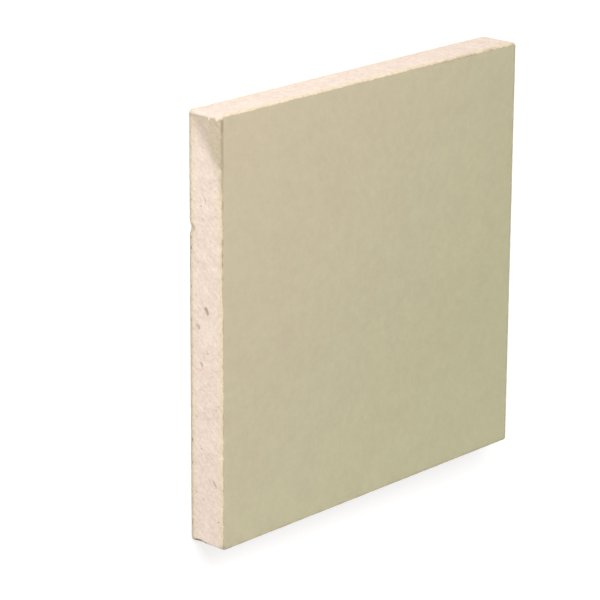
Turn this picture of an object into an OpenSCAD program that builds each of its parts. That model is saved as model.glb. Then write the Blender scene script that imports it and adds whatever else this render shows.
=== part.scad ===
// Drywall piece: a square sawn from a gypsum board, lying on its back with the face paper up.
// X runs across the face, Y up the face and Z from the back to the face. The origin is under the
// middle of the back. The end at -X is the rough sawn end, and the edge at +Y is the top edge.

/* [Sheet] */
// Width of the piece across the face, along X
sheet_w = 125; // [80:1:600]
// Length of the piece up the face, along Y
sheet_l = 125; // [80:1:600]
// Thickness of the board over both papers
sheet_t = 12.5; // [9.5:0.1:25]

/* [Papers] */
// Thickness of the face paper
face_paper_t = 0.4; // [0.2:0.05:0.8]
// Thickness of the back paper
back_paper_t = 0.4; // [0.2:0.05:0.8]

/* [Worn corners] */
// Worn length at the bottom corner of the rough end
wear_end_bottom = 0.9; // [0.1:0.1:3]
// Worn length at the bottom corner of the far end
wear_far_bottom = 0.4; // [0.1:0.1:3]
// Worn length at the top corner of the far end
wear_far_top = 0.6; // [0.1:0.1:3]
// Worn length at the top corner of the rough end
wear_end_top = 0.8; // [0.1:0.1:3]

/* [Chipped arrises of the rough end] */
// Width of the notch beside the face, in the top corner
near_notch_w = 2.6; // [0.5:0.1:3]
// Drop of that notch down the rough end
near_notch_drop = 0.7; // [0.5:0.1:4]
// Middle of that notch, below the face
near_notch_depth = 2; // [1.8:0.1:3]
// Width of the second notch in the top corner
far_notch_w = 2; // [0.5:0.1:2]
// Drop of the second notch down the rough end
far_notch_drop = 1; // [0.5:0.1:4]
// Middle of the second notch, below the face
far_notch_depth = 4.8; // [4.6:0.1:6]
// How far both notches reach in along the top edge
notch_reach = 1.2; // [0.5:0.1:3]
// Width of the flake gone from the bottom corner
bottom_flake_w = 5; // [1:0.1:5]
// Height of that flake on the rough end
bottom_flake_h = 0.8; // [0.5:0.1:3]
// How far that flake reaches in along the bottom edge
bottom_flake_reach = 0.9; // [0.5:0.1:3]
// Middle of that flake, above the back
bottom_flake_level = 3.6; // [3.3:0.1:4]
// Length of the nick in the back arris
nick_l = 2.6; // [1:0.1:6]
// Height of the nick on the rough end
nick_h = 1.6; // [1:0.1:4]
// How far the nick reaches in across the back
nick_reach = 1; // [0.5:0.1:3]
// Middle of the nick, below the top edge
nick_drop = 34; // [10:1:60]

/* [Air voids in the rough end] */
// Radius of the bubbles in the long void
long_void_r = 0.65; // [0.2:0.05:1.2]
// Distance between the long void's two bubbles
long_void_run = 1.1; // [0.3:0.1:2]
// Lean of the long void from the vertical, in degrees
long_void_lean = 28; // [0:1:90]
// Radius of the round void
round_void_r = 0.85; // [0.2:0.05:1.2]
// Radius of the bubbles in the small voids
small_void_r = 0.4; // [0.2:0.05:1]
// Distance between the bubbles of a small void
small_void_run = 0.7; // [0.2:0.1:1.5]

/* [Hidden] */
$fn = 48;

end_x = -sheet_w / 2;
top_y = sheet_l / 2;
bottom_y = -sheet_l / 2;
core_low = back_paper_t;
core_high = sheet_t - face_paper_t;
core_t = core_high - core_low;
// A cut starts this many times as far out as it reaches in, so that it clears the faces it opens
clear_out = 2;

// Places of the voids on the rough end: share of the length below the top edge, and share of the
// core's thickness above the back paper
long_void_at = [0.45, 0.51];
round_void_at = [0.49, 0.22];
small_voids_at = [[0.2, 0.48], [0.57, 0.34], [0.85, 0.76]];

// A point carried on past p, along the line from the middle of a and b
function beyond(p, a, b) = p + ((p - (a + b) / 2) * (clear_out - 1));

// Point of the rough end for one of the places above
function on_end(at) = [end_x, top_y - at[0] * sheet_l, core_low + at[1] * core_t];

// Outline that all three layers share, with each corner worn by its own length
module sheet_outline() {
    far_x = sheet_w / 2;
    polygon([
        [end_x + wear_end_bottom, bottom_y], [far_x - wear_far_bottom, bottom_y],
        [far_x, bottom_y + wear_far_bottom], [far_x, top_y - wear_far_top],
        [far_x - wear_far_top, top_y], [end_x + wear_end_top, top_y],
        [end_x, top_y - wear_end_top], [end_x, bottom_y + wear_end_bottom]
    ]);
}

// One flat layer of the board, from one height to another
module layer(low, high) {
    translate([0, 0, low])
        linear_extrude(height = high - low)
            sheet_outline();
}

// Flake of plaster broken from an arris: it runs along the arris from one point to another, and
// reaches one point on each of the two faces that meet there
module flake(from, to, on_first, on_second) {
    polyhedron(
        points = [
            beyond(from, on_first, on_second), beyond(to, on_first, on_second),
            on_first, on_second
        ],
        faces = [[0, 1, 2], [0, 3, 1], [0, 2, 3], [1, 3, 2]]
    );
}

// V-shaped notch where the top edge meets the rough end
module top_notch(width, drop, depth) {
    level = sheet_t - depth;
    flake(
        [end_x, top_y, level - width / 2], [end_x, top_y, level + width / 2],
        [end_x, top_y - drop - wear_end_top, level], [end_x + notch_reach + wear_end_top, top_y, level]
    );
}

// Flake gone where the bottom edge meets the rough end
module bottom_flake() {
    level = bottom_flake_level;
    flake(
        [end_x, bottom_y, level + bottom_flake_w / 2], [end_x, bottom_y, level - bottom_flake_w / 2],
        [end_x, bottom_y + bottom_flake_h + wear_end_bottom, level],
        [end_x + bottom_flake_reach + wear_end_bottom, bottom_y, level]
    );
}

// Nick in the arris between the back and the rough end, through the paper into the plaster
module back_nick() {
    y = top_y - nick_drop;
    flake(
        [end_x, y - nick_l / 2, 0], [end_x, y + nick_l / 2, 0],
        [end_x, y, nick_h], [end_x + nick_reach, y, 0]
    );
}

// Air void sawn open on the rough end: two bubbles run together, leaning towards the face
module air_void(at, radius, run, lean) {
    translate(on_end(at))
        rotate([lean, 0, 0])
            for (side = [-1, 1])
                translate([0, side * run / 2, 0])
                    sphere(r = radius);
}

module gypsum_core() {
    color([0.95, 0.87, 0.81])
        difference() {
            layer(core_low, core_high);
            top_notch(near_notch_w, near_notch_drop, near_notch_depth);
            top_notch(far_notch_w, far_notch_drop, far_notch_depth);
            bottom_flake();
            back_nick();
            air_void(long_void_at, long_void_r, long_void_run, -long_void_lean);
            translate(on_end(round_void_at))
                sphere(r = round_void_r);
            for (at = small_voids_at)
                air_void(at, small_void_r, small_void_run, -long_void_lean);
        }
}

module face_paper() {
    color([0.77, 0.73, 0.62])
        layer(core_high, sheet_t);
}

module back_paper() {
    color([0.68, 0.64, 0.54])
        difference() {
            layer(0, core_low);
            back_nick();
        }
}

gypsum_core();
face_paper();
back_paper();
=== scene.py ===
"""A square piece of drywall: a sawn gypsum core between its face paper and its back paper.

The piece lies on its back with the face paper up. X runs across the face from the rough sawn end, Y up
the face to the top edge, and Z out of the face. Lengths are metres, apart from those that are named mm.
"""

import math
import random

import bmesh
import bpy
from bpy.props import FloatProperty, FloatVectorProperty, IntProperty, PointerProperty
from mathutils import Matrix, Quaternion, Vector


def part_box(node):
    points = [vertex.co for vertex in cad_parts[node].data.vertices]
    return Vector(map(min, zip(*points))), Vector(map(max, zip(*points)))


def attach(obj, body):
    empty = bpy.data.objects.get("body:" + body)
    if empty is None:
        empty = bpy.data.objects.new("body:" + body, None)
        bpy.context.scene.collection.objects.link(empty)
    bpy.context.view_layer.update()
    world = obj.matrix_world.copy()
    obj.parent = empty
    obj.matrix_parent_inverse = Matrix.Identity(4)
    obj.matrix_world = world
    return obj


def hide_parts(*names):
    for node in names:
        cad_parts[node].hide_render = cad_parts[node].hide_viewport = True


bl_info = {
    "name": "Drywall Piece",
    "version": (1, 0, 0),
    "blender": (4, 5, 0),
    "location": "View3D > Sidebar > Drywall",
    "description": "Builds a sawn piece of gypsum board with its two liner papers",
    "category": "Add Mesh",
}

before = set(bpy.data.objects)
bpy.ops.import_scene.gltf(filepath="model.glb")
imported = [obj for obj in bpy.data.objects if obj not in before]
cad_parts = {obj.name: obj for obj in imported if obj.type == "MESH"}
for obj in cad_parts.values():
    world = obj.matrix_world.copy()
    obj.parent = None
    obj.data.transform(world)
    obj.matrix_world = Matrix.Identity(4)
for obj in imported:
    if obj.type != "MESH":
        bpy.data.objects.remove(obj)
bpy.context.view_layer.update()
CORE_LOW, CORE_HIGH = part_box("gypsum_core")
FACE_LOW, FACE_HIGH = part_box("face_paper")
BACK_LOW, BACK_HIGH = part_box("back_paper")
# The papers' outer sides bound the sheet
SHEET_LOW, SHEET_HIGH = BACK_LOW, FACE_HIGH

MM = 0.001
PER_MM = 1 / MM
# Places closer than this count as one
TINY = 1e-5
# A face whose normal has more of Z than this belongs to the face or the back, and not to an edge
LEVEL_NORMAL = 0.6

# Edges of the sheet
END_X = SHEET_LOW.x
FAR_X = SHEET_HIGH.x
BOTTOM_Y = SHEET_LOW.y
TOP_Y = SHEET_HIGH.y
END_MM = END_X * PER_MM
FAR_MM = FAR_X * PER_MM
BOTTOM_MM = BOTTOM_Y * PER_MM
TOP_MM = TOP_Y * PER_MM

# The rough end, the top edge, the far end and the bottom edge, each as its axis and its sign, with the
# spacing of its mesh as a share of the finest
WALLS = {(0, -1): 1.0, (1, 1): 1.2, (0, 1): 1.6, (1, -1): 1.6}

# Worn length of each upright corner, by the signs of its X and Y
CORNER_WEAR = {(-1, -1): 0.9 * MM, (1, -1): 0.4 * MM, (1, 1): 0.6 * MM, (-1, 1): 0.8 * MM}

# Direction of the saw's streaks on the rough end, turned about X from the length of the sheet, and their
# noise through the sheet, along the streaks and across them
STREAK_TURN = math.radians(51.5)
STREAKS_PER_MM = (0.3, 0.13, 1.4)


# Selection and edit mode


def deselect_all():
    """Leaves nothing selected, because an operator acts on all that is selected."""
    bpy.ops.object.select_all(action="DESELECT")


def make_active(piece):
    """Selects this piece alone and makes it the active one."""
    deselect_all()
    piece.select_set(True)
    bpy.context.view_layer.objects.active = piece


def enter_edit(select_type):
    """Opens the active mesh for editing with nothing selected."""
    bpy.ops.object.mode_set(mode="EDIT")
    bpy.ops.mesh.select_mode(type=select_type)
    bpy.ops.mesh.select_all(action="DESELECT")


def leave_edit():
    """Closes the edited mesh."""
    bpy.ops.object.mode_set(mode="OBJECT")


def select_where(piece, kind, wanted):
    """Selects the points, edges or faces of the edited mesh that pass a test."""
    bpy.ops.mesh.select_mode(type=kind)
    bpy.ops.mesh.select_all(action="DESELECT")
    mesh = bmesh.from_edit_mesh(piece.data)
    for element in {"VERT": mesh.verts, "EDGE": mesh.edges, "FACE": mesh.faces}[kind]:
        if wanted(element):
            element.select = True
    mesh.select_flush_mode()
    bmesh.update_edit_mesh(piece.data)


def face_outwards():
    """Turns every face of the edited mesh outwards."""
    bpy.ops.mesh.select_all(action="SELECT")
    bpy.ops.mesh.normals_make_consistent(inside=False)


def apply_last_modifier(piece):
    """Applies the modifier that was added last."""
    make_active(piece)
    bpy.ops.object.modifier_apply(modifier=piece.modifiers[-1].name)


def apply_node_modifier(piece, tree, values):
    """Runs a geometry node tree on the piece with these values and applies it."""
    make_active(piece)
    bpy.ops.object.modifier_add(type="NODES")
    modifier = piece.modifiers[-1]
    modifier.node_group = tree
    for item in tree.interface.items_tree:
        if item.item_type == "SOCKET" and item.in_out == "INPUT" and item.name in values:
            modifier[item.identifier] = values[item.name]
    apply_last_modifier(piece)


def cut_away(piece, cutter):
    """Cuts the cutter's shape out of the piece and removes the cutter. The cut has the cutter's material."""
    make_active(piece)
    bpy.ops.object.modifier_add(type="BOOLEAN")
    modifier = piece.modifiers[-1]
    modifier.operation = "DIFFERENCE"
    modifier.solver = "MANIFOLD"
    modifier.material_mode = "TRANSFER"
    modifier.object = cutter
    apply_last_modifier(piece)
    bpy.data.objects.remove(cutter)


# Nodes


class Value:
    """A number, vector or colour in a node tree. What is worked out from it adds nodes to the tree."""

    def __init__(self, tree, socket):
        self.tree = tree
        self.socket = socket

    def through(self, kind, inputs, output=0, **settings):
        """What a new node in the same tree makes of these inputs."""
        return value_of(self.tree, kind, inputs, output, **settings)

    def calc(self, operation, other=0.0, **settings):
        """One sum on this number and another."""
        return self.through("ShaderNodeMath", {0: self, 1: other}, operation=operation, **settings)

    def __add__(self, other):
        return self.calc("ADD", other)

    __radd__ = __add__

    def __sub__(self, other):
        return self.calc("SUBTRACT", other)

    def __rsub__(self, other):
        return self.through("ShaderNodeMath", {0: other, 1: self}, operation="SUBTRACT")

    def __mul__(self, other):
        return self.calc("MULTIPLY", other)

    def __truediv__(self, other):
        return self.calc("DIVIDE", other)

    def __abs__(self):
        return self.calc("ABSOLUTE")

    def vector_calc(self, operation, other, output="Vector"):
        """One sum on this vector and another."""
        return self.through("ShaderNodeVectorMath", {0: self, 1: other}, output, operation=operation)

    def scaled(self, factor):
        """This vector or colour times one number."""
        return self.through("ShaderNodeVectorMath", {0: self, "Scale": factor}, operation="SCALE")

    def turned(self, axis, angle, about=(0.0, 0.0, 0.0)):
        """This place turned about an axis through a point."""
        inputs = {"Vector": self, "Angle": angle, "Center": about}
        return self.through("ShaderNodeVectorRotate", inputs, rotation_type=axis)

    def parts(self):
        """The three parts of this vector or colour."""
        node = new_node(self.tree, "ShaderNodeSeparateXYZ", {0: self})
        return [Value(self.tree, socket) for socket in node.outputs]

    def eased(self, low, high, to_low=0.0, to_high=1.0):
        """A smooth step of this number between two limits."""
        inputs = {"Value": self, 1: low, 2: high, 3: to_low, 4: to_high}
        return self.through("ShaderNodeMapRange", inputs, interpolation_type="SMOOTHSTEP")

    def faded(self, low, high, start=1.0):
        """A smooth fall from a start to 0 between two limits."""
        return self.eased(low, high, start, 0.0)

    def swing(self):
        """This number from 0 to 1, moved down to lie about 0."""
        return self - 0.5

    def noise(self, scale, detail, roughness=0.5):
        """Cloudy noise from 0 to 1 at this place."""
        inputs = {"Vector": self, "Scale": scale, "Detail": detail, "Roughness": roughness}
        return self.through("ShaderNodeTexNoise", inputs, "Fac")

    def cells(self, scale):
        """Cells at this place: the distance from a cell's middle, and a colour that chance gave the cell."""
        node = new_node(self.tree, "ShaderNodeTexVoronoi", {"Vector": self, "Scale": scale})
        return [Value(self.tree, node.outputs[name]) for name in ("Distance", "Color")]


def set_inputs(tree, node, inputs):
    """Sets each input to a plain number, vector or colour, or links a value to it."""
    for name, value in inputs.items():
        if isinstance(value, Value):
            tree.links.new(value.socket, node.inputs[name])
        else:
            node.inputs[name].default_value = value


def new_node(tree, kind, inputs, **settings):
    """Adds a node with these settings and inputs."""
    node = tree.nodes.new(kind)
    for name, value in settings.items():
        setattr(node, name, value)
    set_inputs(tree, node, inputs)
    return node


def value_of(tree, kind, inputs=None, output=0, **settings):
    """The value that a new node gives."""
    return Value(tree, new_node(tree, kind, inputs or {}, **settings).outputs[output])


def values_of(tree, node):
    """All the values that a node gives, by name."""
    return {socket.name: Value(tree, socket) for socket in node.outputs}


def highest(first, *others):
    """The largest of two or more values."""
    for other in others:
        first = first.calc("MAXIMUM", other)
    return first


def lowest(first, second):
    """The smaller of two values."""
    return first.calc("MINIMUM", second)


def layered(colour, *coats):
    """A colour under coats of others. Each coat is its mask and its colour."""
    for mask, coat in coats:
        inputs = {0: mask}
        for socket, part in ((6, colour), (7, coat)):
            inputs[socket] = part if isinstance(part, Value) else (*part, 1.0)
        colour = mask.through("ShaderNodeMix", inputs, 2, data_type="RGBA")
    return colour


# Places on the sheet, and streaks, for shapes and finishes alike


def edge_gap(part, half_mm):
    """Distance in mm from the edge of the sheet that this part of the place runs to."""
    return half_mm - abs(part)


def nearest_edge_gap(across, along):
    """Distance in mm from the nearest edge of the sheet."""
    return lowest(edge_gap(across, FAR_MM), edge_gap(along, TOP_MM))


def paper_gaps(height_mm):
    """Distances in mm from the back paper and from the face paper, for a height in the core."""
    return height_mm - CORE_LOW.z * PER_MM, CORE_HIGH.z * PER_MM - height_mm


def saw_streaks(place_mm):
    """Noise drawn out along the saw's direction on the rough end, from 0 to 1."""
    along_saw = place_mm.turned("X_AXIS", STREAK_TURN).vector_calc("MULTIPLY", STREAKS_PER_MM)
    return along_saw.noise(1.0, 3.0, 0.6)


# Node groups


def shared_group(build):
    """The node group that a function builds, named after it and built when it is first asked for."""
    name = build.__name__.replace("_", " ").title()
    return bpy.data.node_groups.get(name) or build(name)


def open_shape(name, numbers):
    """Starts a geometry tree: the tree, its inputs and the place of each point in mm."""
    tree = bpy.data.node_groups.new(name, "GeometryNodeTree")
    tree.is_modifier = True
    tree.interface.new_socket("Geometry", in_out="INPUT", socket_type="NodeSocketGeometry")
    for number in numbers:
        tree.interface.new_socket(number, in_out="INPUT", socket_type="NodeSocketFloat")
    tree.interface.new_socket("Geometry", in_out="OUTPUT", socket_type="NodeSocketGeometry")
    given = values_of(tree, tree.nodes.new("NodeGroupInput"))
    return tree, given, value_of(tree, "GeometryNodeInputPosition").scaled(PER_MM)


def close_shape(tree, given, offset_mm):
    """Ends a geometry tree, which moves each point by its offset in mm."""
    inputs = {"Geometry": given["Geometry"], "Offset": offset_mm.scaled(MM)}
    new_node(tree, "NodeGroupOutput", {"Geometry": value_of(tree, "GeometryNodeSetPosition", inputs)})
    return tree


def open_effect(name):
    """Starts a shader group: its tree and its input, the place in mm."""
    tree = bpy.data.node_groups.new(name, "ShaderNodeTree")
    tree.interface.new_socket("Place mm", in_out="INPUT", socket_type="NodeSocketVector")
    return tree, value_of(tree, "NodeGroupInput", output="Place mm")


def close_effect(tree, results):
    """Ends a shader group, which gives these values out by name."""
    for name in results:
        tree.interface.new_socket(name, in_out="OUTPUT", socket_type="NodeSocketFloat")
    new_node(tree, "NodeGroupOutput", results)
    return tree


# Shapes that nodes give

# Height below a paper in which the plaster crumbles
CRUMBLE_RIM_MM = 0.9

# How far each paper has frayed back at most: on the high and low half of the rough end, along the near
# and far half of the top edge, at the far end and along the bottom edge
FACE_FRAY_MM = {
    "End high mm": 0.3,
    "End low mm": 0.75,
    "Top near mm": 0.55,
    "Top far mm": 0.85,
    "Far mm": 0.12,
    "Bottom mm": 0.15,
}
BACK_FRAY_MM = {
    "End high mm": 0.2,
    "End low mm": 0.12,
    "Top near mm": 0.45,
    "Top far mm": 0.45,
    "Far mm": 0.15,
    "Bottom mm": 0.15,
}
# Width of the frayed band, and where one half of an edge goes over into the other
FRAY_BAND_MM = 2.2
END_HALVES_MM = (7.0, 13.0)
TOP_HALVES_MM = (18.0, 40.0)
# Shift of the noise for the top and bottom edges, so that they don't fray like the two ends
FRAY_SHIFT_MM = 31.0
# Wear of the frayed band, as a share of the paper's waves
BAND_WEAR = 2.5


def sawn_relief(name):
    """Relief of the sawn core: grain all round, streaks on the rough end, and crumbled arrises."""
    tree, given, place_mm = open_shape(name, ("Grain mm", "Streak mm", "Crumble mm"))
    normal = value_of(tree, "GeometryNodeInputNormal")
    facing_far, _, _ = normal.parts()
    _, _, height_mm = place_mm.parts()
    grain = place_mm.noise(1.5, 4.0, 0.62).swing() * given["Grain mm"]
    on_end = facing_far.calc("MULTIPLY", -1.0, use_clamp=True)
    streak = saw_streaks(place_mm).swing() * given["Streak mm"] * on_end
    near_rim = lowest(*paper_gaps(height_mm)).faded(0.0, CRUMBLE_RIM_MM)
    loose = place_mm.noise(0.45, 3.0, 0.6).eased(0.5, 0.72)
    crumble = near_rim * loose * given["Crumble mm"]
    outward = normal.vector_calc("MULTIPLY", (1.0, 1.0, 0.0))
    return close_shape(tree, given, outward.scaled(grain + streak - crumble))


def broken_surface(name):
    """Rough surface for the shapes that are cut out of the core."""
    tree, given, place_mm = open_shape(name, ("Rough mm", "Lumps per mm"))
    rough = place_mm.noise(given["Lumps per mm"], 3.0, 0.6).swing() * given["Rough mm"]
    normal = value_of(tree, "GeometryNodeInputNormal")
    return close_shape(tree, given, normal.scaled(rough))


def frayed_paper(name):
    """Frayed outline and faint waves of a paper. The side that is glued to the core stays flat."""
    numbers = (*FACE_FRAY_MM, "Band mm", "Wave mm", "Glued mm", "Outer mm")
    tree, given, place_mm = open_shape(name, numbers)
    across, along, height_mm = place_mm.parts()

    def edge_pull(part, half_mm, shift_mm, low_mm, high_mm):
        """How far the paper has gone back from the two edges that this part of the place runs between."""
        band = edge_gap(part, half_mm).faded(0.0, given["Band mm"])
        shifted = place_mm.vector_calc("ADD", (shift_mm, shift_mm, shift_mm))
        ragged = shifted.noise(0.6, 5.0, 0.65).eased(0.3, 0.7, 0.35, 1.0)
        depth_mm = part.eased(-1.0, 1.0, low_mm, high_mm)
        return ragged * band * depth_mm * part.calc("SIGN"), band

    end_mm = along.eased(*END_HALVES_MM, given["End low mm"], given["End high mm"])
    top_mm = across.eased(*TOP_HALVES_MM, given["Top near mm"], given["Top far mm"])
    pull_x, band_x = edge_pull(across, FAR_MM, 0.0, end_mm, given["Far mm"])
    pull_y, band_y = edge_pull(along, TOP_MM, FRAY_SHIFT_MM, given["Bottom mm"], top_mm)

    heights = {"Value": height_mm, 1: given["Glued mm"], 2: given["Outer mm"]}
    outer = value_of(tree, "ShaderNodeMapRange", heights)
    inward = (given["Glued mm"] - given["Outer mm"]).calc("SIGN")
    worn = place_mm.noise(0.7, 3.0, 0.6) * highest(band_x, band_y)
    waves = place_mm.noise(0.06, 3.0) + worn * BAND_WEAR
    sunk = value_of(tree, "ShaderNodeCombineXYZ", {2: waves * outer * given["Wave mm"] * inward})
    pulled = value_of(tree, "ShaderNodeCombineXYZ", {0: pull_x, 1: pull_y})
    return close_shape(tree, given, sunk.vector_calc("SUBTRACT", pulled))


# Effects that several finishes share

# Turns of the paper's layers of fibre, each with the place that it turns about, and the fibres' noise
# across them, along them and through the paper
FIBRE_LAYERS = ((0.15, 0.0), (-0.5, 17.0), (0.8, 41.0))
FIBRES_PER_MM = (5.0, 0.7, 5.0)

# Width of the face paper's edge that can show bare fibres
BARE_MARGIN_MM = 1.6
# Places up the rough end, from the middle of the face, where bare fibres come in as fine dashes, as long
# dashes and as lines of a given strength, and where they stop
FINE_DASHES_MM = (12.0, 18.0)
LONG_DASHES_MM = (36.0, 52.0)
LINES_MM = ((40.0, 50.0, 0.62), (57.0, 58.5, 0.95))
BARE_STOP_MM = (61.1, 62.1)
# Places across the top edge where its dashes come in and stop
TOP_DASHES_MM = (20.0, 32.0)
TOP_STOP_MM = (50.0, 58.0)


def plaster_grain(name):
    """Shader group for plaster: soft clouds, blotches, fine crystals, small pores and their height."""
    tree, place_mm = open_effect(name)
    cloud = place_mm.noise(0.3, 3.0, 0.55)
    blotches = place_mm.noise(1.0, 3.0, 0.6)
    crystals = place_mm.noise(5.0, 3.0, 0.65)
    distance, chance = place_mm.cells(0.85)
    red, green, _ = chance.parts()
    pore_size = green.eased(0.0, 1.0, 0.45, 1.35)
    pores = red.eased(0.55, 0.75) * (distance / pore_size).faded(0.05, 0.24)
    height = crystals + cloud * 0.6 - pores * 1.2
    results = {"Cloud": cloud, "Blotches": blotches, "Crystals": crystals, "Pores": pores, "Height": height}
    return close_effect(tree, results)


def paper_fibre(name):
    """Shader group for liner paper: fibres, cloudy formation, mottling, flecks and the fibres' height."""
    tree, place_mm = open_effect(name)
    layers = []
    for angle, shift in FIBRE_LAYERS:
        laid = place_mm.turned("Z_AXIS", angle, (shift, shift, 0.0))
        layers.append(laid.vector_calc("MULTIPLY", FIBRES_PER_MM).noise(1.0, 2.0, 0.55))
    fibre = sum(layers) / len(layers)
    formation = place_mm.noise(0.11, 4.0, 0.55)
    mottle = place_mm.noise(0.45, 4.0, 0.7)
    distance, chance = place_mm.cells(0.28)
    red, _, _ = chance.parts()
    flecks = distance.faded(0.03, 0.08) * red.eased(0.6, 0.9)
    height = fibre + place_mm.noise(3.0, 2.0) * 0.4
    results = {"Fibre": fibre, "Formation": formation, "Mottle": mottle, "Flecks": flecks, "Height": height}
    return close_effect(tree, results)


def plaster_dust(name):
    """Shader group for loose plaster dust: a patchy mask."""
    tree, place_mm = open_effect(name)
    patches = place_mm.noise(0.22, 3.0, 0.65)
    grit = place_mm.noise(2.6, 3.0, 0.7)
    return close_effect(tree, {"Dust": (patches * 0.7 + grit * 0.3).eased(0.42, 0.6)})


def bare_fibre(name):
    """Shader group for brown paper fibres laid bare along the edges of the face paper, in dashes."""
    tree, place_mm = open_effect(name)
    across, along, _ = place_mm.parts()
    gaps = (across - END_MM, FAR_MM - across, along - BOTTOM_MM, TOP_MM - along)
    margins = [gap.faded(BARE_MARGIN_MM / 2, BARE_MARGIN_MM) for gap in gaps]
    at_end, at_far, at_bottom, at_top = margins

    long_dashes = place_mm.noise(0.3, 3.0, 0.6).eased(0.42, 0.56)
    fine_dashes = place_mm.noise(0.5, 3.0, 0.6).eased(0.44, 0.6)
    mid_part = fine_dashes * along.eased(*FINE_DASHES_MM, 0.1, 0.6)
    high_part = long_dashes * along.eased(*LONG_DASHES_MM, 0.0, 0.8)
    lines = [along.eased(start, full, 0.0, strength) for start, full, strength in LINES_MM]
    end_part = highest(mid_part, high_part, *lines) * along.faded(*BARE_STOP_MM) * at_end

    stretch = across.eased(*TOP_DASHES_MM) * across.faded(*TOP_STOP_MM)
    top_part = stretch * long_dashes * 0.6 * at_top
    hidden_part = highest(at_far, at_bottom) * (long_dashes * 0.45)
    return close_effect(tree, {"Bare": highest(end_part, top_part, hidden_part)})


# Finishes

# Spread of the rough end's own colours, in from the end of the sheet
ROUGH_END_MM = (0.3, 1.2)
# Creamier plaster, by its distance from a paper, and how far from the rough end it fades along the back
CREAM_BAND_MM = (0.7, 2.5)
CREAM_BACK_MM = (1.0, 8.0)
# How far the clouds in the plaster move the limits of its colours
CLOUD_WANDER_MM = 1.6

# Darker patch over the top of the rough end: its slant, where it comes in along that slant, its strip
# beside the face, the height up the end from which that strip shows, and its stop below the top edge
DARK_PATCH_SLANT = 1.3
DARK_PATCH_RISE_MM = (-5.6, 2.9)
DARK_PATCH_STRIP_MM = (0.2, 2.2)
DARK_PATCH_STRIP_FROM_MM = (36.0, 46.0)
DARK_PATCH_STOP_MM = (-1.15, -0.75)
# Heights over the back between which the darker patch goes over from pink into khaki
DARK_PATCH_KHAKI_MM = (6.5, 9.5)

# Painted shade on the bottom arris of the rough end: its height there, and its start and stop above the back
ARRIS_SHADE_RISE_MM = (0.5, 1.2)
ARRIS_SHADE_START_MM = (0.4, 1.0)
ARRIS_SHADE_STOP_MM = (5.0, 7.0)
# Reach of the painted shadow from the bottom corner of the face
CORNER_SHADOW_MM = (0.6, 2.2)
# Heights over the back at which the nick's tan painted shade stops, and places up the face where it starts
NICK_SHADE_MM = (2.4, 3.0)
NICK_FROM_MM = (0.0, 2.0)
# Depth below a wall over which an air void's painted shade gets dark
VOID_SHADE_MM = (0.05, 0.6)

# Slant of the face's drift from warm to green, how far its clouds move it, and its two ends
HUE_SLANT = 0.87
HUE_CLOUDS_MM = 100.0
HUE_DRIFT_MM = (-114.0, 100.0)
# Painted light and shade up the face: places over which it gets a little darker, from, to and the two tones
FACE_PAINTED_SHADE_MM = ((-65.0, -10.0, 1.04, 0.985), (0.0, 50.0, 1.0, 0.975))
# Distance from the face's edge over which its bare fibres fade
BARE_FADE_MM = (0.45, 0.95)


def use_group(build, place_mm):
    """Places a shared shader group in the tree of this place and returns what it gives."""
    inputs = {"Place mm": place_mm}
    node = new_node(place_mm.tree, "ShaderNodeGroup", inputs, node_tree=shared_group(build))
    return values_of(place_mm.tree, node)


def start_material(name):
    """A new material and the place on its piece in mm."""
    material = bpy.data.materials.new(name)
    material.use_nodes = True
    place = value_of(material.node_tree, "ShaderNodeTexCoord", output="Object")
    return material, place.scaled(PER_MM)


def finish_material(material, colour, height, depth, roughness, specular):
    """Feeds the material's shader, with a bump of this depth in metres."""
    tree = material.node_tree
    bump = value_of(tree, "ShaderNodeBump", {"Height": height, "Distance": depth}, "Normal")
    looks = {"Base Color": colour, "Roughness": roughness, "Specular IOR Level": specular, "Normal": bump}
    set_inputs(tree, tree.nodes["Principled BSDF"], looks)
    return material


def near_rough_end(across):
    """1 on the rough end and 0 away from it, by the place across the face in mm."""
    return (across - END_MM).faded(*ROUGH_END_MM)


def bottom_dirt(along, height_mm, patches):
    """Mask of the painted shade in dark dashes along the bottom arris of the rough end, on its back half."""
    low = (along - BOTTOM_MM).faded(*ARRIS_SHADE_RISE_MM)
    back_half = height_mm.eased(*ARRIS_SHADE_START_MM) * height_mm.faded(*ARRIS_SHADE_STOP_MM)
    return low * back_half * patches.eased(0.38, 0.55, 0.2, 0.85)


def corner_stain(place_mm):
    """Mask of the grey painted shadow on the face's bottom corner at the rough end."""
    corner_mm = Vector((END_X, BOTTOM_Y, FACE_HIGH.z)) * PER_MM
    return place_mm.vector_calc("DISTANCE", corner_mm, "Value").faded(*CORNER_SHADOW_MM, 0.55)


def cream_band(across, from_back, from_face, wander):
    """Mask of the creamier plaster beside the papers, which is faint along the back of the smooth edges."""
    back_band = (from_back + wander).faded(*CREAM_BAND_MM, 0.9)
    back_band = back_band * (across - END_MM).eased(*CREAM_BACK_MM, 1.0, 0.2)
    face_band = (from_face + wander).faded(*CREAM_BAND_MM, 0.9)
    return highest(back_band, face_band)


def smear_mask(along, height_mm, from_face, wander, streaks):
    """Mask of the darker patch over the top of the rough end."""
    below_top = along - TOP_MM
    past = below_top + height_mm * DARK_PATCH_SLANT + wander * 0.8
    strip = from_face.faded(*DARK_PATCH_STRIP_MM, 0.6) * along.eased(*DARK_PATCH_STRIP_FROM_MM)
    dark_patch = highest(past.eased(*DARK_PATCH_RISE_MM), strip)
    return dark_patch * below_top.faded(*DARK_PATCH_STOP_MM) * streaks.eased(0.3, 0.6, 0.8, 1.0)


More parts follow.
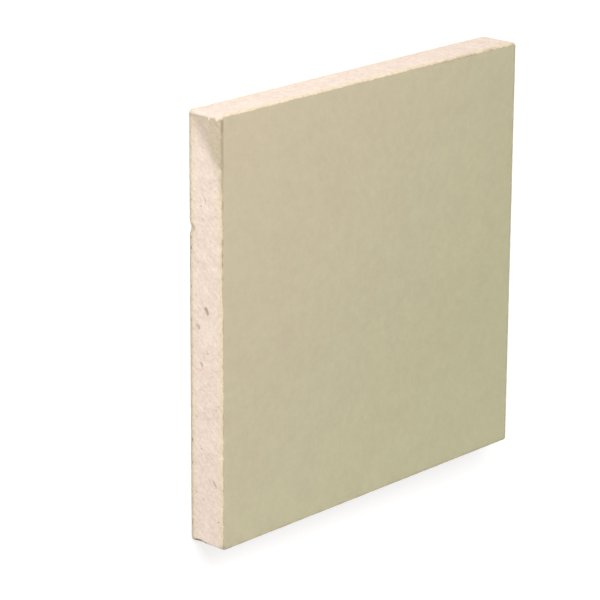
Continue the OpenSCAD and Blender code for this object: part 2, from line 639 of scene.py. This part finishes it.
def sawn_gypsum(settings):
    """Sawn face of the core: pinkish plaster, creamier by the papers, with streaks, pores and a darker patch.
    """
    material, place_mm = start_material("sawn_gypsum")
    grain = use_group(plaster_grain, place_mm)
    bare = use_group(bare_fibre, place_mm)["Bare"]
    across, along, height_mm = place_mm.parts()
    from_back, from_face = paper_gaps(height_mm)
    on_end = near_rough_end(across)
    streaks = saw_streaks(place_mm)
    wander = grain["Cloud"].swing() * CLOUD_WANDER_MM
    dark_patch = smear_mask(along, height_mm, from_face, wander, streaks)
    dark_patch_colour = layered(settings.smear_pink, (height_mm.eased(*DARK_PATCH_KHAKI_MM), settings.smear_khaki))
    colour = layered(
        settings.gypsum_pink,
        (grain["Cloud"].eased(0.3, 0.7), settings.gypsum_pale),
        (cream_band(across, from_back, from_face, wander), settings.gypsum_cream),
        (streaks.faded(0.35, 0.62, 0.16) * on_end, settings.gypsum_shade),
        (dark_patch * on_end, dark_patch_colour),
        (bare * from_face.faded(0.1, 0.6, 0.3), settings.paper_brown),
        (from_back.faded(0.1, 1.0, 0.5) * on_end, settings.paper_grey),
        # Painted shade in dark dashes along the bottom arris
        (bottom_dirt(along, height_mm, grain["Blotches"]) * on_end, settings.dirt_colour),
        # Painted shadow by the face's bottom corner
        (corner_stain(place_mm), settings.stain_colour),
        # Painted shade in the pores, which are coloured a little darker
        (grain["Pores"] * 0.15, settings.gypsum_shade),
    )
    speckle = grain["Crystals"].eased(0.3, 0.7, 0.96, 1.04) * grain["Blotches"].eased(0.3, 0.66, 0.92, 1.04)
    colour = colour.scaled(speckle)
    return finish_material(material, colour, grain["Height"], depth=0.12 * MM, roughness=0.92, specular=0.2)


def broken_gypsum(settings):
    """Broken face of a notch, flake or nick: the same plaster, unsawn, pale and coarse."""
    material, place_mm = start_material("broken_gypsum")
    grain = use_group(plaster_grain, place_mm)
    _, along, height_mm = place_mm.parts()
    # Tan painted shade in the nick's hollow
    nick_painted_shade = height_mm.faded(*NICK_SHADE_MM, 0.4) * along.eased(*NICK_FROM_MM)
    colour = layered(
        settings.gypsum_pink,
        (grain["Crystals"].eased(0.3, 0.7), settings.gypsum_pale),
        # Painted shade along the bottom arris, on the flake
        (bottom_dirt(along, height_mm, grain["Blotches"]), settings.dirt_colour),
        (nick_painted_shade, settings.smear_khaki),
    )
    return finish_material(material, colour, grain["Height"], depth=0.2 * MM, roughness=0.95, specular=0.15)


def void_wall(settings):
    """Inside of an air void: plaster with painted shade that gets darker with its depth below the sawn wall.
    """
    material, place_mm = start_material("void_wall")
    grain = use_group(plaster_grain, place_mm)
    across, along, _ = place_mm.parts()
    # Painted shade: the void gets darker with its depth below the wall
    deep = nearest_edge_gap(across, along).eased(*VOID_SHADE_MM, 0.4, 1.0)
    deep = deep * grain["Crystals"].eased(0.3, 0.7, 0.75, 1.0)
    colour = layered(settings.gypsum_pink, (deep, settings.void_dark))
    return finish_material(material, colour, grain["Height"], depth=0.06 * MM, roughness=0.95, specular=0.15)


def face_liner(settings):
    """Face paper's outer side: smooth khaki liner, a faint drift of hue across the sheet, and painted shade.
    """
    material, place_mm = start_material("face_liner")
    paper = use_group(paper_fibre, place_mm)
    bare = use_group(bare_fibre, place_mm)["Bare"]
    across, along, _ = place_mm.parts()
    slanted = across - along * HUE_SLANT + paper["Formation"].swing() * HUE_CLOUDS_MM
    colour = layered(settings.face_warm, (slanted.eased(*HUE_DRIFT_MM), settings.face_green))

    tone = (paper["Fibre"] + paper["Formation"] * 0.6).eased(0.55, 1.05, 0.965, 1.035)
    tone = tone * paper["Mottle"].eased(0.2, 0.8, 0.96, 1.04)
    # Painted light and shade: the face is lighter low down and a little darker towards the top edge
    for stretch in FACE_PAINTED_SHADE_MM:
        tone = tone * along.eased(*stretch)
    colour = layered(
        colour.scaled(tone),
        (paper["Flecks"] * 0.18, settings.paper_brown),
        (bare * nearest_edge_gap(across, along).faded(*BARE_FADE_MM, 0.65), settings.paper_brown),
        # Painted shadow by the face's bottom corner
        (corner_stain(place_mm), settings.stain_colour),
    )
    roughness = paper["Fibre"].eased(0.3, 0.7, 0.66, 0.8)
    return finish_material(material, colour, paper["Height"], 0.03 * MM, roughness, specular=0.3)


def back_liner(settings):
    """Outer side of the back paper: greyer recycled liner with more flecks."""
    material, place_mm = start_material("back_liner")
    paper = use_group(paper_fibre, place_mm)
    patchy = paper["Formation"] + paper["Mottle"]
    colour = layered(
        settings.back_dark,
        ((paper["Fibre"] + patchy * 0.3).eased(0.55, 1.05), settings.back_pale),
        (paper["Flecks"] * 0.5, settings.paper_brown),
    )
    roughness = paper["Fibre"].eased(0.3, 0.7, 0.74, 0.88)
    return finish_material(material, colour, paper["Height"], 0.06 * MM, roughness, specular=0.25)


def cut_face_paper(settings):
    """Cut edge of the face paper: brown fibres where they are bare, dusted with plaster elsewhere."""
    material, place_mm = start_material("cut_face_paper")
    paper = use_group(paper_fibre, place_mm)
    brown = layered(settings.paper_brown, (paper["Fibre"].eased(0.35, 0.65), settings.paper_tan))
    colour = layered(
        settings.face_warm,
        (use_group(plaster_dust, place_mm)["Dust"] * 0.7, settings.gypsum_cream),
        (use_group(bare_fibre, place_mm)["Bare"], brown),
        # Painted shadow by the face's bottom corner
        (corner_stain(place_mm), settings.stain_colour),
    )
    return finish_material(material, colour, paper["Height"], depth=0.08 * MM, roughness=0.9, specular=0.15)


def cut_back_paper(settings):
    """Cut edge of the back paper: greyish fibres under patches of plaster dust."""
    material, place_mm = start_material("cut_back_paper")
    paper = use_group(paper_fibre, place_mm)
    across, _, _ = place_mm.parts()
    plaster = layered(settings.gypsum_pink, (near_rough_end(across), settings.gypsum_cream))
    colour = layered(
        settings.back_dark,
        (paper["Fibre"].eased(0.35, 0.65), settings.paper_grey),
        (use_group(plaster_dust, place_mm)["Dust"] * 0.4, plaster),
    )
    return finish_material(material, colour, paper["Height"], depth=0.08 * MM, roughness=0.9, specular=0.15)


# Maps for the bake

# Name of each piece's own map, and the pixels across the map that its points are laid out
# for. Name that a piece's map needs, to be baked through, and pixels across that bake
MAP_NAME = "OFBake"
MAP_PIXELS = 1024
# Faces this near two walls lie at a corner
CORNER_REACH = 1.5 * MM

# Map of the core: its left margin, the rows for half a wall each, and a low patch under each paper
CORE_LEFT = 12
FIRST_ROW = 6
ROW_PITCH = 122
WALL_PER_MM = (16, 9.9)
UNDER_PAPER_ROWS = {-1: 984, 1: 1004}
UNDER_PAPER_PER_MM = (8, 0.12)

# Map of a paper: its margin, the strips for its cut edges, and a low patch for its glued side
PAPER_MARGIN = 6
PAPER_PER_MM = 7.6
STRIPS = {-1: 966, 1: 984}
STRIP_PER_MM = 20
GLUED_ROW = 1002
GLUED_PER_MM = 0.14


def patch(*directions):
    """The function from a place to its map point, on a side of a piece that is laid flat on its map.

    Each of the map's two directions gives the axis that it follows, the place where that starts, and
    the first pixel and the pixels per mm there.
    """

    def map_point(place):
        point = []
        for axis, start, pixel, per_mm in directions:
            point.append((pixel + (place[axis] - start) * PER_MM * per_mm) / MAP_PIXELS)
        return point

    return map_point


def nearest_wall(middle, normal):
    """The wall of the sheet, as its axis and sign, that a face is part of. At a corner its normal decides."""
    gaps = {(axis, sign): SHEET_HIGH[axis] - middle[axis] * sign for axis, sign in WALLS}
    near = [wall for wall, gap in gaps.items() if gap < CORNER_REACH]
    if len(near) > 1:
        return max(near, key=lambda wall: normal[wall[0]] * wall[1])
    return min(gaps, key=gaps.get)


def lay_out_map(piece, choose):
    """Gives the piece its own map, on which each face lies on the patch that is chosen for it."""
    mesh = piece.data
    layer = mesh.uv_layers.new(name=MAP_NAME)
    for face in mesh.polygons:
        map_point = choose(face.center, face.normal)
        for corner in face.loop_indices:
            layer.uv[corner].vector = map_point(mesh.vertices[mesh.loops[corner].vertex_index].co)


def map_core(core):
    """Map of the core: half a wall in each of eight rows, and a low patch for each side under a paper."""
    patches = {}
    halves = [(wall, half) for wall in WALLS for half in (0, 1)]
    along_per_mm, up_per_mm = WALL_PER_MM
    for row, (wall, half) in enumerate(halves):
        length_axis = 1 - wall[0]
        start = 0.0 if half else SHEET_LOW[length_axis]
        patches[wall, half] = patch(
            (length_axis, start, CORE_LEFT, along_per_mm),
            (2, CORE_LOW.z, FIRST_ROW + ROW_PITCH * row, up_per_mm),
        )
    across_per_mm, low_per_mm = UNDER_PAPER_PER_MM
    for sign, row in UNDER_PAPER_ROWS.items():
        patches[sign] = patch((0, END_X, CORE_LEFT, across_per_mm), (1, BOTTOM_Y, row, low_per_mm))

    def choose(middle, normal):
        for sign, level in ((-1, CORE_LOW.z), (1, CORE_HIGH.z)):
            if abs(middle.z - level) < TINY:
                return patches[sign]
        wall = nearest_wall(middle, normal)
        return patches[wall, int(middle[1 - wall[0]] > 0)]

    lay_out_map(core, choose)


def map_paper(paper, low_z, outer_sign):
    """Map of a paper: its outer side, a strip for each cut edge and a low patch for its glued side."""
    across = (0, END_X, PAPER_MARGIN, PAPER_PER_MM)
    along = (1, BOTTOM_Y, PAPER_MARGIN, PAPER_PER_MM)
    patches = {
        outer_sign: patch(across, along),
        -outer_sign: patch(across, (1, BOTTOM_Y, GLUED_ROW, GLUED_PER_MM)),
    }
    for sign, pixel in STRIPS.items():
        through = (2, low_z, pixel, STRIP_PER_MM)
        patches[0, sign] = patch(through, along)
        patches[1, sign] = patch(across, through)

    def choose(middle, normal):
        if abs(normal.z) > LEVEL_NORMAL:
            return patches[1 if normal.z > 0 else -1]
        return patches[nearest_wall(middle, normal)]

    lay_out_map(paper, choose)


# The core

CORNER_SEGMENTS = 4
# A wall is first cut into this many stretches, because one cut can't make all its columns
WALL_STRETCHES = 5
CORE_SMOOTH_ANGLE = math.radians(50)

# Notches in the top corner of the rough end: height over the back, width and drop, with the lean, sides
# and cuts of the cone that makes one
NOTCHES = ((10.6 * MM, 2.5 * MM, 0.7 * MM), (7.7 * MM, 2.1 * MM, 1.0 * MM))
NOTCH_LEAN = math.radians(22)
NOTCH_SIDES = 14
NOTCH_CUTS = 7
# Flake gone from the bottom corner of the rough end, and nick in its back arris
FLAKE_PLACE = Vector((END_X, BOTTOM_Y, 3.6 * MM))
FLAKE_RADII_MM = (1.0, 1.1, 3.0)
NICK_PLACE = Vector((END_X, 29.4 * MM, 0.2 * MM))
NICK_RADII_MM = (0.8, 1.5, 2.0)

# Larger voids of the rough end: along, height, depth, half length and half width in mm, and lean
END_VOIDS = (
    (6.5, 6.4, 0.9, 1.35, 0.72, 0.49),
    (1.3, 3.0, 0.5, 0.95, 0.9, 0.0),
    (38.0, 6.0, 0.3, 1.1, 0.36, 0.2),
    (-9.4, 4.4, 0.4, 0.8, 0.6, 0.4),
    (-43.5, 9.3, 0.5, 1.4, 0.4, 0.56),
)
# Small bubbles: tries on each wall, their chance sizes, and room around one and before a corner
WALL_BUBBLES = 34
BUBBLE_SEED = 11
BUBBLE_SHARES = (0.35, 1.0)
BUBBLE_ROOM = 1.2 * MM
CORNER_ROOM = 3 * MM

# Subdivisions of a bubble's mesh
COARSE, MEDIUM, FINE = 2, 3, 4
# Surfaces that the cuts leave
BROKEN = {"Rough mm": 0.5, "Lumps per mm": 1.4}
BUBBLED = {"Rough mm": 0.25, "Lumps per mm": 2.5}
# Points of the cut core that lie closer than this become one
MERGE_GAP = 0.01 * MM


def wall_place(axis, sign):
    """Place along its axis of one of the core's walls."""
    return CORE_HIGH[axis] if sign > 0 else CORE_LOW[axis]


def lies_at(edge, axis, place):
    """True for an edge that lies at this place along an axis."""
    return all(abs(vert.co[axis] - place) < TINY for vert in edge.verts)


def is_level(edge):
    """True for an edge that keeps its height."""
    return abs(edge.verts[0].co.z - edge.verts[1].co.z) < TINY


def raise_walls(settings):
    """The four sawn walls of the core as one open band, with worn corners and a fine grid on each wall."""
    deselect_all()
    size = CORE_HIGH - CORE_LOW
    bpy.ops.mesh.primitive_cube_add(size=1, location=(CORE_LOW + CORE_HIGH) / 2, scale=size)
    core = bpy.context.object
    core.name = "gypsum_core_sawn"
    bpy.ops.object.transform_apply(location=True, rotation=True, scale=True)
    enter_edit("EDGE")
    for (side_x, side_y), wear in CORNER_WEAR.items():
        x, y = wall_place(0, side_x), wall_place(1, side_y)
        select_where(core, "EDGE", lambda edge: lies_at(edge, 0, x) and lies_at(edge, 1, y))
        bpy.ops.mesh.bevel(offset=wear, segments=CORNER_SEGMENTS, affect="EDGES")
    select_where(core, "FACE", lambda face: abs(face.normal.z) > LEVEL_NORMAL)
    bpy.ops.mesh.delete(type="ONLY_FACE")
    select_where(core, "EDGE", lambda edge: not is_level(edge))
    bpy.ops.mesh.subdivide(number_cuts=round(size.z / settings.fine_grid) - 1)
    for (axis, sign), spacing in WALLS.items():
        place = wall_place(axis, sign)
        columns = round(size[1 - axis] / WALL_STRETCHES / (settings.fine_grid * spacing))
        for pieces in (WALL_STRETCHES, columns):
            select_where(core, "EDGE", lambda edge: is_level(edge) and lies_at(edge, axis, place))
            bpy.ops.mesh.subdivide(number_cuts=pieces - 1)
    leave_edit()
    return core


def close_rims(core):
    """Closes the core under each paper with one face."""
    make_active(core)
    enter_edit("EDGE")
    for level in (CORE_LOW.z, CORE_HIGH.z):
        select_where(core, "EDGE", lambda edge: lies_at(edge, 2, level))
        bpy.ops.mesh.edge_face_add()
    face_outwards()
    leave_edit()


def start_cutter():
    """Opens an empty mesh for editing, for the shapes that one cut takes out of a piece."""
    deselect_all()
    bpy.ops.object.add(type="MESH", location=(0, 0, 0))
    bpy.ops.object.mode_set(mode="EDIT")
    return bpy.context.object


def finish_cutter(cutter, material, surface):
    """Closes the edited cutter and roughens it, so that it leaves this surface."""
    leave_edit()
    cutter.data.materials.append(material)
    apply_node_modifier(cutter, shared_group(broken_surface), surface)


def add_bubble(place, radii_mm, detail, lean=0.0):
    """Adds a bubble to the edited cutter, with one radius for each axis, leaning about X."""
    bpy.ops.mesh.select_all(action="DESELECT")
    bpy.ops.mesh.primitive_ico_sphere_add(subdivisions=detail, radius=MM, location=place)
    bpy.ops.transform.resize(value=radii_mm, center_override=place)
    if lean:
        bpy.ops.transform.rotate(value=lean, orient_axis="X", center_override=place)


def add_notch(level, width, drop):
    """Adds a notch to the edited cutter: a cone that opens upwards where the top edge meets the rough end.

    The cone is twice as long as the notch is deep, so it clears the top edge.
    """
    bpy.ops.mesh.select_all(action="DESELECT")
    whole_drop = drop + CORNER_WEAR[-1, 1]
    tip = Vector((END_X, TOP_Y - whole_drop, level))
    axis = Vector((math.sin(NOTCH_LEAN), math.cos(NOTCH_LEAN), 0))
    bpy.ops.mesh.primitive_cone_add(
        vertices=NOTCH_SIDES,
        radius1=width / 8,
        radius2=width,
        depth=2 * whole_drop,
        location=tip + axis * whole_drop,
        rotation=(-math.pi / 2, 0, -NOTCH_LEAN),
    )
    bpy.ops.mesh.subdivide(number_cuts=NOTCH_CUTS)


def scattered_bubbles(largest):
    """Places and radii of the small bubbles on all four walls."""
    draw = random.Random(BUBBLE_SEED)
    bubbles = []
    for axis, sign in WALLS:
        for _ in range(WALL_BUBBLES):
            length = draw.uniform(BOTTOM_Y + CORNER_ROOM, TOP_Y - CORNER_ROOM)
            height = draw.uniform(CORE_LOW.z + BUBBLE_ROOM, CORE_HIGH.z - BUBBLE_ROOM)
            radius = largest * draw.uniform(*BUBBLE_SHARES) ** 2
            place = Vector((length, length, height))
            place[axis] = wall_place(axis, sign)
            if all((place - other).length > radius + size + BUBBLE_ROOM for other, size in bubbles):
                bubbles.append((place, radius))
    return bubbles


def clean_cuts(core):
    """Merges the points that the cuts left close together, and takes out those that only split an edge."""
    make_active(core)
    enter_edit("VERT")
    bpy.ops.mesh.select_all(action="SELECT")
    bpy.ops.mesh.remove_doubles(threshold=MERGE_GAP)
    select_where(core, "VERT", lambda vert: len(vert.link_edges) == 2)
    bpy.ops.mesh.dissolve_verts()
    bpy.ops.mesh.select_all(action="SELECT")
    bpy.ops.mesh.delete_loose()
    select_where(core, "FACE", lambda face: len(face.verts) > 4)
    bpy.ops.mesh.quads_convert_to_tris(ngon_method="BEAUTY")
    leave_edit()


def colour_setting(name, description, default):
    """A colour that a user can change."""
    return FloatVectorProperty(name=name, description=description, default=default, subtype="COLOR")


class DrywallSettings(bpy.types.PropertyGroup):
    """Sizes and colours of the piece that a user would change."""

    fine_grid: FloatProperty(
        name="Fine grid", description="Spacing of the mesh on the rough end", default=0.27 * MM, unit="LENGTH"
    )
    grain_mm: FloatProperty(name="Grain", description="Depth of the plaster's grain in mm", default=0.22)
    streak_mm: FloatProperty(name="Streaks", description="Depth of the saw's streaks in mm", default=0.3)
    crumble_mm: FloatProperty(name="Crumble", description="Plaster lost along the papers in mm", default=0.35)
    bubble_radius: FloatProperty(
        name="Bubbles", description="Largest radius of the small bubbles", default=0.38 * MM, unit="LENGTH"
    )
    paper_cells: IntProperty(name="Paper grid", description="Cells of a paper's mesh each way", default=250)
    fray: FloatProperty(
        name="Fray", description="Share of the papers' usual fraying", default=1.0, subtype="FACTOR"
    )
    wave_mm: FloatProperty(name="Waves", description="Depth of the papers' waves in mm", default=0.05)
    gypsum_pink: colour_setting("Plaster", "Main colour of the plaster", (0.86, 0.71, 0.61))
    gypsum_pale: colour_setting("Pale plaster", "Paler clouds in the plaster", (0.9, 0.765, 0.66))
    gypsum_cream: colour_setting("Cream plaster", "Plaster beside a paper", (0.86, 0.73, 0.54))
    gypsum_shade: colour_setting("Plaster shade", "Streaks of the plaster, and painted shade in its pores", (0.6, 0.45, 0.36))
    void_dark: colour_setting("Void", "Painted shade inside the air voids", (0.58, 0.47, 0.395))
    dirt_colour: colour_setting("Dirt", "Painted shade on the bottom arris", (0.26, 0.22, 0.17))
    stain_colour: colour_setting("Stain", "Painted shadow on a corner of the face", (0.29, 0.325, 0.275))
    smear_pink: colour_setting("Smear", "Darker patch over the top of the rough end", (0.605, 0.503, 0.39))
    smear_khaki: colour_setting("Khaki patch, nick shade", "Its khaki part, and tan painted shade in the nick", (0.57, 0.487, 0.346))
    face_warm: colour_setting("Face, warm", "Face paper at the rough end", (0.554, 0.476, 0.336))
    face_green: colour_setting("Face, green", "Face paper at the far end", (0.504, 0.476, 0.302))
    back_dark: colour_setting("Back, dark", "Dark fibres of the back paper", (0.4, 0.35, 0.25))
    back_pale: colour_setting("Back, pale", "Pale fibres of the back paper", (0.5, 0.44, 0.32))
    paper_brown: colour_setting("Cut paper", "Brown fibres of cut paper", (0.3, 0.22, 0.14))
    paper_tan: colour_setting("Cut paper, tan", "Paler fibres of cut paper", (0.45, 0.36, 0.25))
    paper_grey: colour_setting("Cut back paper", "Grey fibres of cut paper", (0.5, 0.44, 0.38))


class DRYWALL_OT_gypsum_core(bpy.types.Operator):
    """Build the sawn gypsum core with its voids and chipped arrises"""

    bl_idname = "drywall.gypsum_core"
    bl_label = "Gypsum Core"

    def execute(self, context):
        settings = context.scene.drywall
        core = raise_walls(settings)
        depths = {
            "Grain mm": settings.grain_mm,
            "Streak mm": settings.streak_mm,
            "Crumble mm": settings.crumble_mm,
        }
        apply_node_modifier(core, shared_group(sawn_relief), depths)
        close_rims(core)
        core.data.materials.append(sawn_gypsum(settings))

        breaks = start_cutter()
        for level, width, drop in NOTCHES:
            add_notch(level, width, drop)
        add_bubble(FLAKE_PLACE, FLAKE_RADII_MM, FINE)
        add_bubble(NICK_PLACE, NICK_RADII_MM, FINE)
        finish_cutter(breaks, broken_gypsum(settings), BROKEN)
        cut_away(core, breaks)

        voids = start_cutter()
        for along, height, depth, length, width, lean in END_VOIDS:
            place = Vector((END_X, along * MM, height * MM))
            add_bubble(place, (depth, length, width), MEDIUM, lean)
        for place, radius in scattered_bubbles(settings.bubble_radius):
            add_bubble(place, [radius * PER_MM] * 3, COARSE)
        finish_cutter(voids, void_wall(settings), BUBBLED)
        cut_away(core, voids)

        clean_cuts(core)
        bpy.ops.object.shade_smooth_by_angle(angle=CORE_SMOOTH_ANGLE)
        map_core(core)
        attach(core, "root")
        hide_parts("gypsum_core")
        return {"FINISHED"}


# The papers

# Rows of faces on a paper's cut edge
EDGE_ROWS = 2
PAPER_SMOOTH_ANGLE = math.radians(45)


def make_paper(settings, name, glued_z, outer_z, fray_mm):
    """A thin paper: a fine grid for its outer side, walls for its cut edge and one face on the core."""
    deselect_all()
    bpy.ops.mesh.primitive_grid_add(
        x_subdivisions=settings.paper_cells,
        y_subdivisions=settings.paper_cells,
        size=1,
        location=(0, 0, outer_z),
    )
    paper = bpy.context.object
    paper.name = name
    bpy.ops.transform.resize(value=(FAR_X - END_X, TOP_Y - BOTTOM_Y, 1))
    bpy.ops.object.transform_apply(location=True, rotation=True, scale=True)
    enter_edit("EDGE")
    for (side_x, side_y), wear in CORNER_WEAR.items():
        bpy.ops.mesh.select_all(action="SELECT")
        bpy.ops.mesh.bisect(
            plane_co=(FAR_X * side_x - wear * side_x, TOP_Y * side_y, outer_z),
            plane_no=(side_x, side_y, 0),
            clear_outer=True,
        )
    bpy.ops.mesh.select_all(action="DESELECT")
    bpy.ops.mesh.select_mode(type="EDGE")
    bpy.ops.mesh.select_non_manifold(extend=False, use_multi_face=False, use_non_contiguous=False)
    row = (0, 0, (glued_z - outer_z) / EDGE_ROWS)
    for _ in range(EDGE_ROWS):
        bpy.ops.mesh.extrude_edges_move(TRANSFORM_OT_translate={"value": row})
    bpy.ops.mesh.edge_face_add()
    face_outwards()
    leave_edit()
    values = {edge: depth_mm * settings.fray for edge, depth_mm in fray_mm.items()}
    values |= {
        "Band mm": FRAY_BAND_MM,
        "Wave mm": settings.wave_mm,
        "Glued mm": glued_z * PER_MM,
        "Outer mm": outer_z * PER_MM,
    }
    apply_node_modifier(paper, shared_group(frayed_paper), values)
    return paper


def dress_paper(paper, outer_material, edge_material):
    """Gives a paper the material of its two sides, and its cut edge a material of its own."""
    paper.data.materials.append(outer_material)
    paper.data.materials.append(edge_material)
    make_active(paper)
    enter_edit("FACE")
    select_where(paper, "FACE", lambda face: abs(face.normal.z) < LEVEL_NORMAL)
    paper.active_material_index = len(paper.data.materials) - 1
    bpy.ops.object.material_slot_assign()
    leave_edit()
    bpy.ops.object.shade_smooth_by_angle(angle=PAPER_SMOOTH_ANGLE)


class DRYWALL_OT_face_paper(bpy.types.Operator):
    """Build the face paper with its frayed cut edge"""

    bl_idname = "drywall.face_paper"
    bl_label = "Face Paper"

    def execute(self, context):
        settings = context.scene.drywall
        paper = make_paper(settings, "face_liner", FACE_LOW.z, FACE_HIGH.z, FACE_FRAY_MM)
        dress_paper(paper, face_liner(settings), cut_face_paper(settings))
        map_paper(paper, FACE_LOW.z, outer_sign=1)
        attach(paper, "root")
        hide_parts("face_paper")
        return {"FINISHED"}


class DRYWALL_OT_back_paper(bpy.types.Operator):
    """Build the back paper with its frayed cut edge and the nick through it"""

    bl_idname = "drywall.back_paper"
    bl_label = "Back Paper"

    def execute(self, context):
        settings = context.scene.drywall
        paper = make_paper(settings, "back_liner", BACK_HIGH.z, BACK_LOW.z, BACK_FRAY_MM)
        cut_edge = cut_back_paper(settings)
        dress_paper(paper, back_liner(settings), cut_edge)
        nick = start_cutter()
        add_bubble(NICK_PLACE, NICK_RADII_MM, FINE)
        finish_cutter(nick, cut_edge, BROKEN)
        cut_away(paper, nick)
        bpy.ops.object.shade_smooth_by_angle(angle=PAPER_SMOOTH_ANGLE)
        map_paper(paper, BACK_LOW.z, outer_sign=-1)
        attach(paper, "root")
        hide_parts("back_paper")
        return {"FINISHED"}


# The stage

WHITE = (1, 1, 1, 1)
FLOOR_SIZE = 6
FLOOR_COLOUR = (0.85, 0.85, 0.85, 1)
# Distances from the piece between which the floor's glow goes over from its near to its far strength
GLOW_REACH = (0.15, 0.9)
GLOW_STRENGTH = (0.34, 0.6)
# Each lamp's place and aim, and the size of both
KEY_PLACE = Vector((-0.2, 0.36, 0.38))
KEY_AIM = Vector((0, 0.02, 0))
FILL_PLACE = Vector((-0.5, 0.0, 0.2))
FILL_AIM = Vector((0, 0, 0))
LAMP_SIZE = 0.4
SENSOR_MM = 36


class StageSettings(bpy.types.PropertyGroup):
    """Camera and light of the stage."""

    lens: FloatProperty(
        name="Lens", description="Focal length on a 36 mm sensor", default=182.75, unit="CAMERA"
    )
    aim: FloatVectorProperty(
        name="Aim",
        description="Point of the face that the camera aims at",
        default=(-0.03133, 0.00402, 0.0125),
        subtype="TRANSLATION",
    )
    distance: FloatProperty(
        name="Distance", description="From the aim to the camera", default=0.8533, unit="LENGTH"
    )
    azimuth: FloatProperty(
        name="Azimuth", description="Of the camera from +X", default=math.radians(156.69), unit="ROTATION"
    )
    elevation: FloatProperty(
        name="Elevation", description="Of the camera", default=math.radians(40.22), unit="ROTATION"
    )
    roll: FloatProperty(
        name="Roll", description="Of the camera about its axis", default=math.radians(105.83), unit="ROTATION"
    )
    sky: FloatProperty(name="Sky", description="Strength of the even light", default=0.6)
    key: FloatProperty(name="Key", description="Lamp beyond the top edge", default=1.9, unit="POWER")
    fill: FloatProperty(name="Fill", description="Lamp beside the rough end", default=0.41, unit="POWER")


def camera_sees(tree):
    """1 for a ray from the camera, or one that a shiny or clear surface passes on."""
    path = values_of(tree, tree.nodes.new("ShaderNodeLightPath"))
    return highest(path["Is Camera Ray"], path["Is Glossy Ray"], path["Is Transmission Ray"])


def lay_floor():
    """Lays a pale matt floor that goes over into the white of the background away from the piece."""
    deselect_all()
    bpy.ops.mesh.primitive_plane_add(size=FLOOR_SIZE, location=(0, 0, 0))
    floor = bpy.context.object
    floor.name = "floor"
    material = bpy.data.materials.new("pale_floor")
    material.use_nodes = True
    tree = material.node_tree
    tree.nodes.remove(tree.nodes["Principled BSDF"])
    matt = value_of(tree, "ShaderNodeBsdfDiffuse", {"Color": FLOOR_COLOUR})
    place = value_of(tree, "ShaderNodeTexCoord", output="Object")
    away = place.through("ShaderNodeVectorMath", {0: place}, "Value", operation="LENGTH")
    glow = camera_sees(tree) * away.eased(*GLOW_REACH, *GLOW_STRENGTH)
    lift = value_of(tree, "ShaderNodeEmission", {"Strength": glow})
    both = value_of(tree, "ShaderNodeAddShader", {0: matt, 1: lift})
    set_inputs(tree, tree.nodes["Material Output"], {"Surface": both})
    floor.data.materials.append(material)


def light_room(scene, strength):
    """Even light from all round, behind a background that the camera sees as white."""
    scene.world = scene.world or bpy.data.worlds.new("studio")
    scene.world.use_nodes = True
    tree = scene.world.node_tree
    tree.nodes.clear()
    light = value_of(tree, "ShaderNodeBackground", {"Color": WHITE, "Strength": strength})
    white = value_of(tree, "ShaderNodeBackground", {"Color": WHITE, "Strength": 1.0})
    mixed = value_of(tree, "ShaderNodeMixShader", {0: camera_sees(tree), 1: light, 2: white})
    new_node(tree, "ShaderNodeOutputWorld", {"Surface": mixed})


def add_lamp(name, place, aim, power):
    """A square soft lamp that points at the aim."""
    deselect_all()
    bpy.ops.object.light_add(type="AREA", location=place)
    lamp = bpy.context.object
    lamp.name = name
    lamp.rotation_euler = (aim - place).to_track_quat("-Z", "Y").to_euler()
    lamp.data.size = LAMP_SIZE
    lamp.data.energy = power


def add_camera(scene, settings):
    """The camera, at its distance and angles from the point that it aims at."""
    level = math.cos(settings.elevation)
    x = level * math.cos(settings.azimuth)
    y = level * math.sin(settings.azimuth)
    back = Vector((x, y, math.sin(settings.elevation)))
    deselect_all()
    bpy.ops.object.camera_add(location=Vector(settings.aim) + back * settings.distance)
    camera = bpy.context.object
    camera.name = "camera"
    turn = (-back).to_track_quat("-Z", "Y") @ Quaternion((0, 0, 1), settings.roll)
    camera.rotation_euler = turn.to_euler()
    camera.data.lens = settings.lens
    camera.data.sensor_width = SENSOR_MM
    scene.camera = camera


class DRYWALL_OT_stage(bpy.types.Operator):
    """Build the floor, the light and the camera"""

    bl_idname = "drywall.stage"
    bl_label = "Stage"

    def execute(self, context):
        scene = context.scene
        settings = scene.drywall_stage
        scene.view_settings.view_transform = "Standard"
        lay_floor()
        light_room(scene, settings.sky)
        add_lamp("key", KEY_PLACE, KEY_AIM, settings.key)
        add_lamp("fill", FILL_PLACE, FILL_AIM, settings.fill)
        add_camera(scene, settings)
        return {"FINISHED"}


class DRYWALL_PT_panel(bpy.types.Panel):
    """Sidebar panel of the drywall piece"""

    bl_label = "Drywall Piece"
    bl_idname = "DRYWALL_PT_panel"
    bl_space_type = "VIEW_3D"
    bl_region_type = "UI"
    bl_category = "Drywall"

    def draw(self, context):
        for operator in OPERATORS:
            self.layout.operator(operator.bl_idname)
        for group in (context.scene.drywall, context.scene.drywall_stage):
            column = self.layout.column()
            for name in group.__annotations__:
                column.prop(group, name)


OPERATORS = (DRYWALL_OT_gypsum_core, DRYWALL_OT_face_paper, DRYWALL_OT_back_paper, DRYWALL_OT_stage)
CLASSES = (DrywallSettings, StageSettings, *OPERATORS, DRYWALL_PT_panel)


def register():
    """Adds the classes and their settings to Blender."""
    for cls in CLASSES:
        bpy.utils.register_class(cls)
    bpy.types.Scene.drywall = PointerProperty(type=DrywallSettings)
    bpy.types.Scene.drywall_stage = PointerProperty(type=StageSettings)


def unregister():
    """Takes the settings and the classes out of Blender."""
    del bpy.types.Scene.drywall_stage
    del bpy.types.Scene.drywall
    for cls in reversed(CLASSES):
        bpy.utils.unregister_class(cls)


def main():
    """Builds the piece and its stage."""
    register()
    bpy.ops.drywall.gypsum_core()
    bpy.ops.drywall.face_paper()
    bpy.ops.drywall.back_paper()
    bpy.ops.drywall.stage()


if __name__ == "__main__":
    main()
